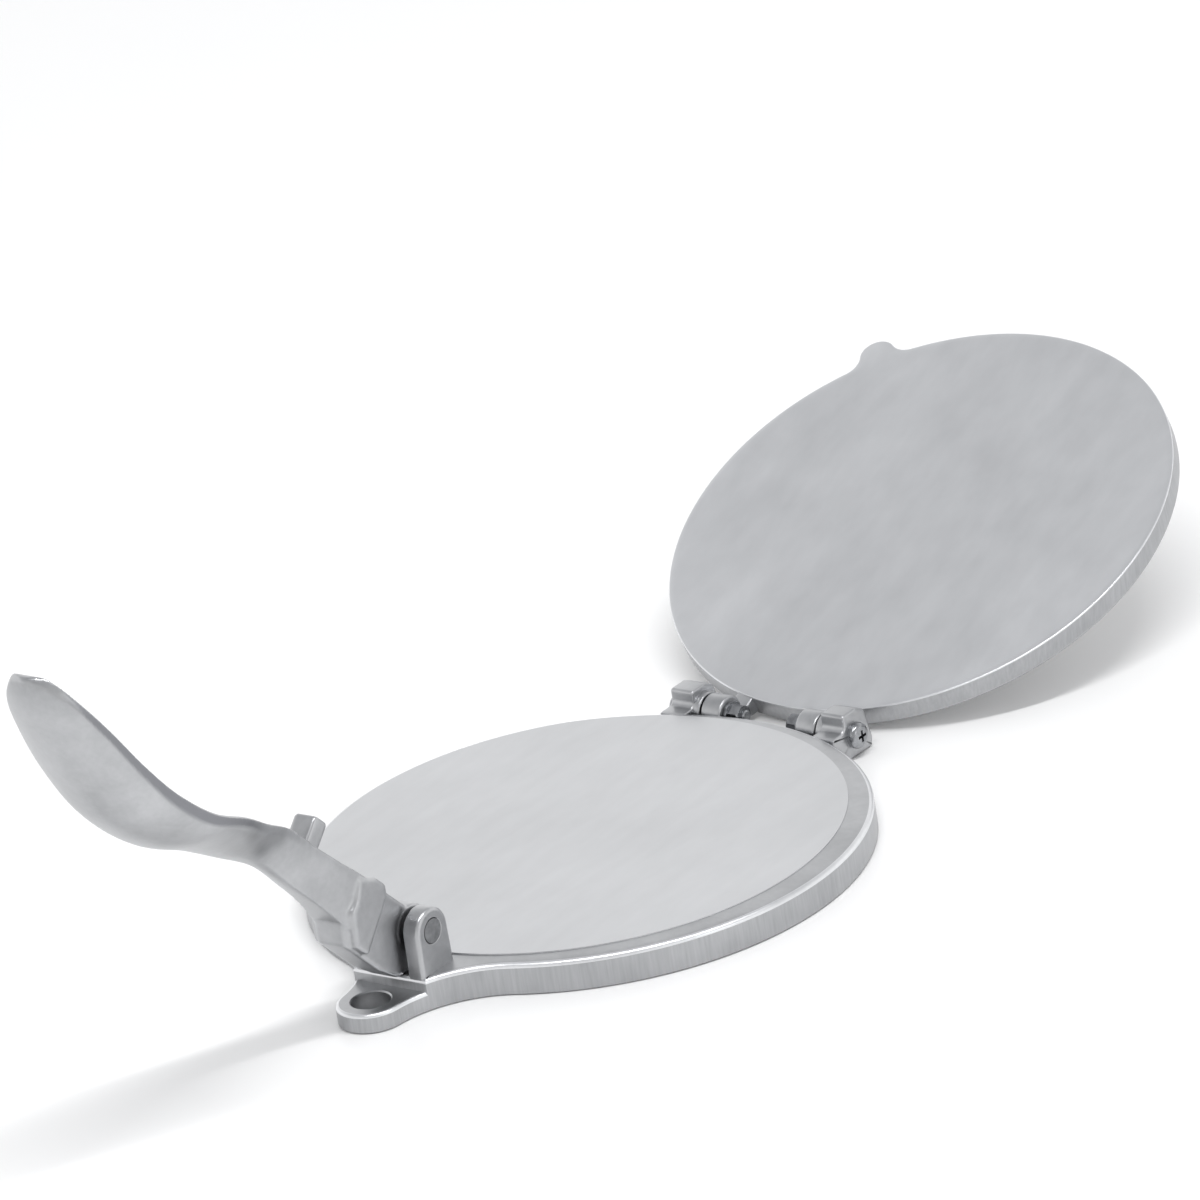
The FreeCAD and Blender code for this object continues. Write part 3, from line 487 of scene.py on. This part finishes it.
def earGrid():
    # the sides lean in towards a far apex and touch the circle round the pin, so that circle is the
    # apex's fillet
    pivotY, pivotZ = ear["pivot"]
    drop = pivotZ - ear["footHeight"]
    lean = math.atan2(ear["foot"], drop) - math.asin(ear["round"] / math.hypot(ear["foot"], drop))
    corners = [(pivotY - ear["foot"], ear["footHeight"]), (pivotY + ear["foot"], ear["footHeight"]),
               (pivotY, pivotZ + ear["round"] / math.sin(lean))]
    outline = filletedOutline(corners, [ear["footRound"], ear["footRound"], ear["round"]], steps=25)
    return standAcross(
        drilledPrism(outline, ear["pivot"], ear["hole"], ear["inside"], ear["outside"], ear["edges"]))


post = {"hinge": (111.2, 8.4), "inside": 29.2, "outside": 39.6, "hole": 2.65, "edges": (0.8, 0.9),
        "corners": [(105.7, 18.0), (113.7, 18.0), (118.7, 15.7), (121.5, 3.2), (120.5, 0.05), (98.0, 0.05),
                    (98.0, 11.9), (105.7, 11.9)],
        "rounds": [1.2, 1.5, 1.5, 0.8, 0.6, 0.4, 0.4, 2.2],
        "bossRadius": 7.2, "bossInside": 26.6, "bossOverlap": 1.0, "bossEdges": (0.6, 0.1)}


def postGrids():
    # a post with filleted corners, and a round boss that starts inside it, both bored for the screw
    body = drilledPrism(filletedOutline(post["corners"], post["rounds"]), post["hinge"], post["hole"],
                        post["inside"], post["outside"], post["edges"])
    boss = drilledPrism(circlePoints(post["hinge"], post["bossRadius"], fullTurn), post["hinge"],
                        post["hole"], post["bossInside"], post["inside"] + post["bossOverlap"],
                        post["bossEdges"])
    return standAcross(body), standAcross(boss)


baseShells = [basePlateShell(), lugShell()]
for grid in (earGrid(), *postGrids()):
    baseShells += [plain(closedShell(grid, True)), plain(closedShell(mirrored(grid), True))]
baseMaterials = [tumbledCast, milledBaseFace, linishedWall, highlightEdgeFinish]
addPiece("baseCasting", baseShells, baseMaterials, "base", "base_plate")
print("base casting made")


# Top casting: drawn closed, then swung open about the hinge

top = {"radius": 99.5, "faceHeight": 13.1, "thickness": 8.8, "faceRound": 0.5, "backRound": 1.4,
       "faceRings": [20.0, 60.0, 97.0], "openAngle": 158.9, "hinge": (111.2, 8.4),
       "tabAngle": 40.6, "tabDistance": 103.1, "tabRadius": 7.0, "blendRadius": 8.0,
       "reliefDepth": 2.4, "bossRadius": 17.0, "landInset": 9.0, "ribHalf": 6.0,
       "landRings": [95.0, 92.5], "fieldRings": [84, 76, 66, 54, 42, 30, 23], "bossRings": [10.0, 4.0],
       "columns": 540, "tabHalf": 9, "tabColumns": 145,
       "barrelRadius": 7.0, "barrelInside": 17.2, "barrelOutside": 26.0, "barrelEdge": 0.8, "hole": 2.65,
       "armRoot": 89.0, "armBack": 94.0, "armInset": 0.3, "armEdge": 1.0, "armIntoBarrel": 1.5,
       "armUnderBack": 0.6, "armUnderBarrel": 0.02, "armRounds": [0.3, 0.5, 0.5, 0.5, 3.0, 0.3]}


def swungOpen(grid):
    # turns about the line through the hinge, parallel to x, by the opening angle
    angle = -math.radians(top["openAngle"])
    y = grid[..., 1] - top["hinge"][0]
    z = grid[..., 2] - top["hinge"][1]
    return np.stack([grid[..., 0], top["hinge"][0] + y * math.cos(angle) - z * math.sin(angle),
                     top["hinge"][1] + y * math.sin(angle) + z * math.cos(angle)], -1)


def tabbedRadius(fromTab):
    # distance of the outline from the centre, by the angle from the tab: the far side of the tab's
    # circle, then the near side of the blend's circle, and the round plate elsewhere
    tabCenter = np.array([top["tabDistance"], 0])
    blendSide = top["radius"] + top["blendRadius"]
    tabBlend = top["tabRadius"] + top["blendRadius"]
    turn = math.acos((blendSide ** 2 + top["tabDistance"] ** 2 - tabBlend ** 2)
                     / (2 * blendSide * top["tabDistance"]))
    blend = np.array([blendSide * math.cos(turn), blendSide * math.sin(turn)])
    touch = tabCenter + (blend - tabCenter) * top["tabRadius"] / tabBlend
    away = np.abs(fromTab)
    acrossTab = np.clip(top["tabRadius"] ** 2 - (top["tabDistance"] * np.sin(away)) ** 2, 0, None)
    tab = top["tabDistance"] * np.cos(away) + np.sqrt(acrossTab)
    along = np.cos(away) * blend[0] + np.sin(away) * blend[1]
    near = along - np.sqrt(np.clip(along ** 2 - blendSide ** 2 + top["blendRadius"] ** 2, 0, None))
    return np.where(away < math.atan2(touch[1], touch[0]), tab, np.where(away < turn, near, top["radius"]))


def topPlateShell():
    # rows from the middle of the milled face out, over the wall, and in over the relief of the back
    tabAt = -np.pi / 2 - math.radians(top["tabAngle"])
    reliefOuter = top["radius"] - top["landInset"]
    angles = columnAngles(top["columns"], reliefOuter, top["ribHalf"], tabAt, top["tabHalf"],
                          top["tabColumns"])
    direction = np.stack([np.cos(angles), np.sin(angles)], -1)
    outline = direction * tabbedRadius((angles - tabAt + np.pi) % (2 * np.pi) - np.pi)[:, None]
    back = top["faceHeight"] + top["thickness"]
    wall = roundedWall(outline, top["faceHeight"], back, top["faceRound"], top["backRound"])[1:-1]
    face = np.array(top["faceRings"])[:, None, None] * direction[None]
    faceRows = np.concatenate([face, np.full((*face.shape[:2], 1), top["faceHeight"])], -1)
    rings = np.concatenate([top["landRings"], reliefOuter + np.arange(0.5, -2.0, -0.5), top["fieldRings"],
                            top["bossRadius"] + np.arange(2.0, -1.5, -0.5), top["bossRings"]])[:, None]
    turned = besideRibs(angles[None], rings, top["bossRadius"], reliefOuter, top["ribHalf"])
    behind = rings[..., None] * np.stack([np.cos(turned), np.sin(turned)], -1)
    depth = reliefDepth(behind[..., 0], behind[..., 1], top["reliefDepth"], top["bossRadius"], reliefOuter,
                        top["ribHalf"])
    backRows = np.concatenate([behind, (back - depth)[..., None]], -1)
    points, triangles, rows = closedShell(swungOpen(np.concatenate([faceRows, wall, backRows])))
    wallStart = len(faceRows)
    wallRow = wallStart + roundSteps - 1
    numbers = np.full(len(rows), castSkin)
    numbers[rows < wallStart] = milledFace
    # the round at the face's edge takes the paler edge colour, a painted highlight
    numbers[(rows >= wallStart) & (rows < wallRow)] = brightEdge
    numbers[rows == wallRow] = groundWall
    return points, triangles, numbers


def tangentAngle(outside, center, radius):
    # the direction, from the centre, of the point where the clockwise one of the two lines from outside
    # touches the circle
    away = np.array(outside) - np.array(center)
    return math.atan2(away[1], away[0]) - math.acos(radius / np.hypot(*away))


def armGrids():
    # the arm's outline runs from inside the plate to inside the barrel, then by the barrel's tangent up
    # to the back of the plate; the barrel is a bored cylinder
    back = top["faceHeight"] + top["thickness"]
    hingeY, hingeZ = top["hinge"]
    touchAngle = tangentAngle((top["armBack"], back), top["hinge"], top["barrelRadius"])
    touch = circlePoints(top["hinge"], top["barrelRadius"] - top["armUnderBarrel"], touchAngle)
    run = math.sqrt(top["barrelRadius"] ** 2 - (top["faceHeight"] - hingeZ) ** 2)
    lowest = top["faceHeight"] + top["armInset"]
    corners = [(top["armRoot"], lowest), (hingeY - run + top["armInset"], lowest),
               (hingeY - top["armIntoBarrel"], hingeZ + top["armIntoBarrel"]), tuple(touch),
               (top["armBack"], back), (top["armRoot"], back - top["armUnderBack"])]
    outline = filletedOutline(corners, top["armRounds"])
    arm = roundedWall(outline, top["barrelInside"] + top["armInset"], top["barrelOutside"] - top["armInset"],
                      top["armEdge"], top["armEdge"])
    barrel = drilledPrism(circlePoints(top["hinge"], top["barrelRadius"], fullTurn), top["hinge"],
                          top["hole"], top["barrelInside"], top["barrelOutside"],
                          (top["barrelEdge"], top["barrelEdge"]))
    return swungOpen(standAcross(arm)), swungOpen(standAcross(barrel))


arm, barrel = armGrids()
topShells = [topPlateShell()]
for grid, loop in ((arm, False), (barrel, True)):
    topShells += [plain(closedShell(grid, loop)), plain(closedShell(mirrored(grid), loop))]
topMaterials = [tumbledCast, milledTopFace, linishedWall, highlightEdgeFinish]
addPiece("topCasting", topShells, topMaterials, "top", "top_plate")
print("top casting made")


# Lever casting, drawn along its own axis from the pivot: x across, u along, v towards the press

lever = {"pivot": (-108.9, 27.0), "restAngle": 46.4,
         "hubRadius": 8.7, "hubHalf": 7.0, "hubEdge": 0.8,
         "arm": [(2.0, 5.2), (26.6, 5.2), (26.6, -5.0), (2.0, -5.0)],
         "armRounds": [0.6, 0.6, 0.6, 0.6], "armHalf": 6.6, "armEdge": 0.8,
         "cam": [(1.0, -1.0), (-10.6, -10.1), (-2.5, -18.6), (8.7, -20.4), (32.0, -20.4), (38.5, -14.0),
                 (38.5, -1.0)],
         "camRounds": [0.5, 1.5, 1.5, 3.0, 0.8, 1.2, 0.5], "camHalf": 6.6, "camEdge": 1.2,
         "block": [(21.8, -19.2), (23.4, 3.2), (26.6, 6.4), (33.0, 6.4), (42.0, 2.6), (38.8, -5.0),
                   (38.8, -10.0), (29.8, -19.2)],
         "blockRounds": [1.2, 1.2, 1.5, 1.5, 1.2, 1.0, 2.0, 1.5], "blockHalf": 10.0, "blockEdge": 1.3,
         "stub": [(62.4, -3.0), (70.4, -3.0), (70.4, 14.4), (62.4, 14.4)],
         "stubRounds": [0.5, 0.5, 1.6, 1.6], "stubHalf": 5.0, "stubEdge": 1.3,
         "voxel": 0.61 * mm, "softness": 0.5, "softSteps": 3}
# the spoon's sections from the block to the tip; wedge is how much of a section is a wedge with a flat
# foot
spoon = {"along": [34.0, 51.4, 67.8, 87.2, 107.9, 128.2, 148.7,
                   169.2, 189.7, 210.4, 224.5, 232.4, 236.4, 238.0],
         "halfWidth": [9.3, 8.9, 8.8, 10.4, 17.3, 23.8, 26.5, 25.9, 23.8, 20.0, 15.4, 10.3, 5.6, 1.6],
         "rim": [1.6, 1.0, 0.5, 0.0, -5.4, -10.1, -16.4, -18.0, -15.8, -11.0, -7.6, -5.4, -4.2, -3.8],
         "depth": [16.2, 13.7, 12.8, 12.3, 11.6, 12.1, 12.5, 12.0, 9.6, 7.4, 5.5, 3.8, 2.3, 1.1],
         "hollow": [0, 0, 0, 0, 0, 4.8, 9.4, 9.0, 6.5, 3.9, 1.7, 0.3, 0, 0],
         "wedge": [1, 0.95, 0.75, 0.5, 0.2, 0.05, 0, 0, 0, 0, 0, 0, 0, 0],
         "foot": [8.0, 5.2, 4.2, 4, 4, 4, 4, 4, 4, 4, 4, 4, 4, 4],
         "tipLength": 14.0, "rows": 120, "tipRows": 22, "backPoints": 49, "hollowPoints": 33,
         "wall": 3.0, "thinWall": 0.45, "backFullness": 1.06, "ellipseShare": 0.35, "fullHollow": 2.0,
         "rimAcross": [-0.1, -0.08, 0.12, 0.75, 0.95, 1.0], "rimUp": [0.15, 0.85, 1.0, 1.0, 0.85, 0.6]}


def leverPlace(grid):
    # x, u, v to the press's frame: u runs forwards and up at the rest angle, v square to it
    angle = math.radians(lever["restAngle"])
    x, u, v = grid[..., 0], grid[..., 1], grid[..., 2]
    return np.stack([x, lever["pivot"][0] - u * math.cos(angle) + v * math.sin(angle),
                     lever["pivot"][1] + u * math.sin(angle) + v * math.cos(angle)], -1)


def smoothThrough(stations, values, wanted):
    # a cubic through each pair of stations, whose slopes are the means of the slopes to both neighbours,
    # or level where those two point opposite ways
    stations, values = np.array(stations, float), np.array(values, float)
    steps = np.diff(values) / np.diff(stations)
    slopes = np.concatenate([steps[:1], (steps[:-1] + steps[1:]) / 2, steps[-1:]])
    slopes[1:-1] = np.where(steps[:-1] * steps[1:] <= 0, 0, slopes[1:-1])
    index = np.clip(np.searchsorted(stations, wanted) - 1, 0, len(stations) - 2)
    gap = stations[index + 1] - stations[index]
    share = (wanted - stations[index]) / gap
    before, after = values[index], values[index + 1]
    level = before * (1 + 2 * share) * (1 - share) ** 2 + after * share ** 2 * (3 - 2 * share)
    lean = slopes[index] * share * (1 - share) ** 2 - slopes[index + 1] * share ** 2 * (1 - share)
    return level + gap * lean


def spoonGrid():
    # Each cross-section runs round the outside from the right rim, under the back and up to the left rim,
    # then over the rim and back through the hollow. The back lies between half an ellipse and a parabola,
    # so it meets the upright rim at a soft edge, and near the pivot it is a wedge with a flat foot.
    first, last, tip = spoon["along"][0], spoon["along"][-1], spoon["tipLength"]
    along = np.concatenate([np.linspace(first, last - tip, spoon["rows"]),
                            last - tip * np.cos(np.linspace(0, np.pi / 2, spoon["tipRows"]))[1:]])
    width, rim, depth, hollow, wedge, foot = (
        smoothThrough(spoon["along"], spoon[key], along)[:, None]
        for key in ("halfWidth", "rim", "depth", "hollow", "wedge", "foot"))
    swing = np.linspace(0, np.pi, spoon["backPoints"])[None]
    share = spoon["ellipseShare"]
    ovalX = width * np.cos(swing)
    ovalV = -spoon["backFullness"] * depth * (share * np.sin(swing) + (1 - share) * np.sin(swing) ** 2)
    # the wedge's sides take the first and the last third of the half turn, its foot the middle third
    down = np.minimum(swing, np.pi - swing) / (np.pi / 3)
    side = np.where(swing < np.pi / 2, 1, -1)
    wedgeX = side * np.where(down < 1, width + (foot - width) * down, foot * (3 - 2 * down))
    wedgeV = -depth * np.minimum(down, 1)
    backX = ovalX * (1 - wedge) + wedgeX * wedge
    backV = rim + ovalV * (1 - wedge) + wedgeV * wedge
    wall = np.minimum(spoon["wall"], width * spoon["thinWall"])
    lip = spoon["rimUp"][-1]
    overX = width - wall * np.array([spoon["rimAcross"]])
    overV = rim + wall * np.array([spoon["rimUp"]])
    hollowed = np.clip(hollow / spoon["fullHollow"], 0, 1)
    overV = overV * hollowed + np.minimum(overV + wall, rim + wall) * (1 - hollowed)
    inside = np.linspace(np.pi, 0, spoon["hollowPoints"])[None, 1:-1]
    insideX = (width - wall) * np.cos(inside)
    insideV = rim + wall * (lip * hollowed + 1 - hollowed) - (hollow + wall * lip * hollowed) * np.sin(inside)
    x = np.concatenate([backX, -overX, insideX, overX[:, ::-1]], 1)
    v = np.concatenate([backV, overV, insideV, overV[:, ::-1]], 1)
    return np.stack([x, np.broadcast_to(along[:, None], x.shape), v], -1)


leverGrids = [spoonGrid()]
leverOutlines = {"hub": circlePoints((0, 0), lever["hubRadius"], fullTurn)}
for part in ("arm", "cam", "block", "stub"):
    leverOutlines[part] = filletedOutline(lever[part], lever[part + "Rounds"])
for part, outline in leverOutlines.items():
    half, edge = lever[part + "Half"], lever[part + "Edge"]
    leverGrids.append(standAcross(roundedWall(outline, -half, half, edge, edge)))
leverShells = [plain(closedShell(leverPlace(grid))) for grid in leverGrids]
leverPiece = addPiece("leverCasting", leverShells, [leverCast], "handle", "lever")
# the overlapping solids become one skin, whose corners are softened like a casting's
remesh = leverPiece.modifiers.new("oneSkin", "REMESH")
remesh.mode = "VOXEL"
remesh.voxel_size = lever["voxel"]
remesh.use_smooth_shade = True
soften = leverPiece.modifiers.new("castSoftness", "SMOOTH")
soften.factor = lever["softness"]
soften.iterations = lever["softSteps"]
print("lever casting made")


# Pin, screws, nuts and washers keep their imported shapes

for nodeName, node in nodes.items():
    if nodeName == "lever_pin" or nodeName.startswith("hinge_"):
        node.data.materials.clear()
        node.data.materials.append(groundSteel if nodeName == "lever_pin" else platedSteel)
print("pin and screws finished")


# Floor, light and camera, in metres

# A white board, hardly under the press's feet, so that the two don't share a plane
floorLook = {"color": "F6F6F6", "roughness": 0.3, "size": 6.0, "drop": 0.0003}
floorMaterial = bpy.data.materials.new("whiteGlossBoard")
floorMaterial.use_nodes = True
shader = floorMaterial.node_tree.nodes["Principled BSDF"]
shader.inputs["Base Color"].default_value = linearFromHex(floorLook["color"])
shader.inputs["Roughness"].default_value = floorLook["roughness"]
floorCorners = np.array([(-1, -1, 0), (1, -1, 0), (1, 1, 0), (-1, 1, 0)]) * floorLook["size"] / 2
floorMesh = bpy.data.meshes.new("floor")
floorMesh.from_pydata((floorCorners - [0, 0, floorLook["drop"]]).tolist(), [], [(0, 1, 2, 3)])
floorMesh.materials.append(floorMaterial)
floor = bpy.data.objects.new("floor", floorMesh)
bpy.context.scene.collection.objects.link(floor)
bpy.context.scene.view_settings.view_transform = "Standard"

# White sweep all round, brightest behind the press and greyer overhead and in front. The height of a
# direction drives the colour, and how far it points to the back left the strength.
skyLook = {"horizon": "FFFFFF", "overhead": "B4B5B7", "heights": (0.3, 0.85), "backwards": (-0.65, 0.76),
           "from": -1.0, "to": 0.4, "front": 0.97, "behind": 1.32}
world = bpy.data.worlds.new("studio")
bpy.context.scene.world = world
world.use_nodes = True
tree = world.node_tree
background = tree.nodes["Background"]
worldPlace = addNode(tree, "ShaderNodeTexCoord")
direction = addNode(tree, "ShaderNodeSeparateXYZ", None, {0: worldPlace.outputs["Generated"]})
sky = addNode(tree, "ShaderNodeValToRGB", None, {"Fac": direction.outputs[2]})
for element, height, color in zip(sky.color_ramp.elements, skyLook["heights"], ("horizon", "overhead")):
    element.color = linearFromHex(skyLook[color])
    element.position = height
tree.links.new(sky.outputs["Color"], background.inputs[0])
sideways = addNode(tree, "ShaderNodeMath", {"operation": "MULTIPLY", 1: skyLook["backwards"][0]},
                   {0: direction.outputs[0]})
backwards = addNode(tree, "ShaderNodeMath", {"operation": "MULTIPLY_ADD", 1: skyLook["backwards"][1]},
                    {0: direction.outputs[1], 2: sideways.outputs[0]})
strength = addNode(tree, "ShaderNodeMapRange", {"From Min": skyLook["from"], "From Max": skyLook["to"],
                                                "To Min": skyLook["front"], "To Max": skyLook["behind"]},
                   {"Value": backwards.outputs[0]})
tree.links.new(strength.outputs[0], background.inputs[1])

# A strip lamp overhead draws the bright line along the rounded edges, a square one lights the right-hand
# sides; both face the press
lampLook = {
    "strip": {"position": (0.54, -0.26, 1.9), "along": (0.53, 0.85, 0), "size": (1.6, 0.14), "power": 21.0},
    "side": {"position": (1.9, -0.2, 0.7), "along": (0, 1, 0), "size": (0.8, 0.8), "power": 2.0}}
for name, look in lampLook.items():
    light = bpy.data.lights.new(name, "AREA")
    light.shape = "RECTANGLE"
    light.size, light.size_y = look["size"]
    light.energy = look["power"]
    lamp = bpy.data.objects.new(name, light)
    bpy.context.scene.collection.objects.link(lamp)
    back = Vector(look["position"]).normalized()
    along = Vector(look["along"])
    along = (along - back * along.dot(back)).normalized()
    lampAxes = Matrix((along, back.cross(along), back)).transposed()
    lamp.matrix_world = Matrix.Translation(look["position"]) @ lampAxes.to_4x4()

# The camera that was fitted to the photo, whose image is 1200 pixels wide and high
cameraLook = {"position": (2.6133, -3.04137, 1.80034), "focalPixels": 12178.73, "center": (610.06, 602.99),
              "right": (0.792684, 0.591418, -0.147906), "down": (0.127047, -0.397548, -0.908743),
              "forward": (-0.596247, 0.701556, -0.390268),
              "imagePixels": 1200, "sensorWidth": 36, "clipEnd": 50}
pixels = cameraLook["imagePixels"]
cameraData = bpy.data.cameras.new("camera")
cameraData.sensor_width = cameraLook["sensorWidth"]
cameraData.lens = cameraLook["focalPixels"] / pixels * cameraLook["sensorWidth"]
cameraData.shift_x = (pixels / 2 - cameraLook["center"][0]) / pixels
cameraData.shift_y = (cameraLook["center"][1] - pixels / 2) / pixels
cameraData.clip_end = cameraLook["clipEnd"]
camera = bpy.data.objects.new("camera", cameraData)
bpy.context.scene.collection.objects.link(camera)
right, down, forward = (Vector(cameraLook[key]) for key in ("right", "down", "forward"))
cameraAxes = Matrix((right, -down, -forward)).transposed()
camera.matrix_world = Matrix.Translation(cameraLook["position"]) @ cameraAxes.to_4x4()
bpy.context.scene.camera = camera
print("studio set")
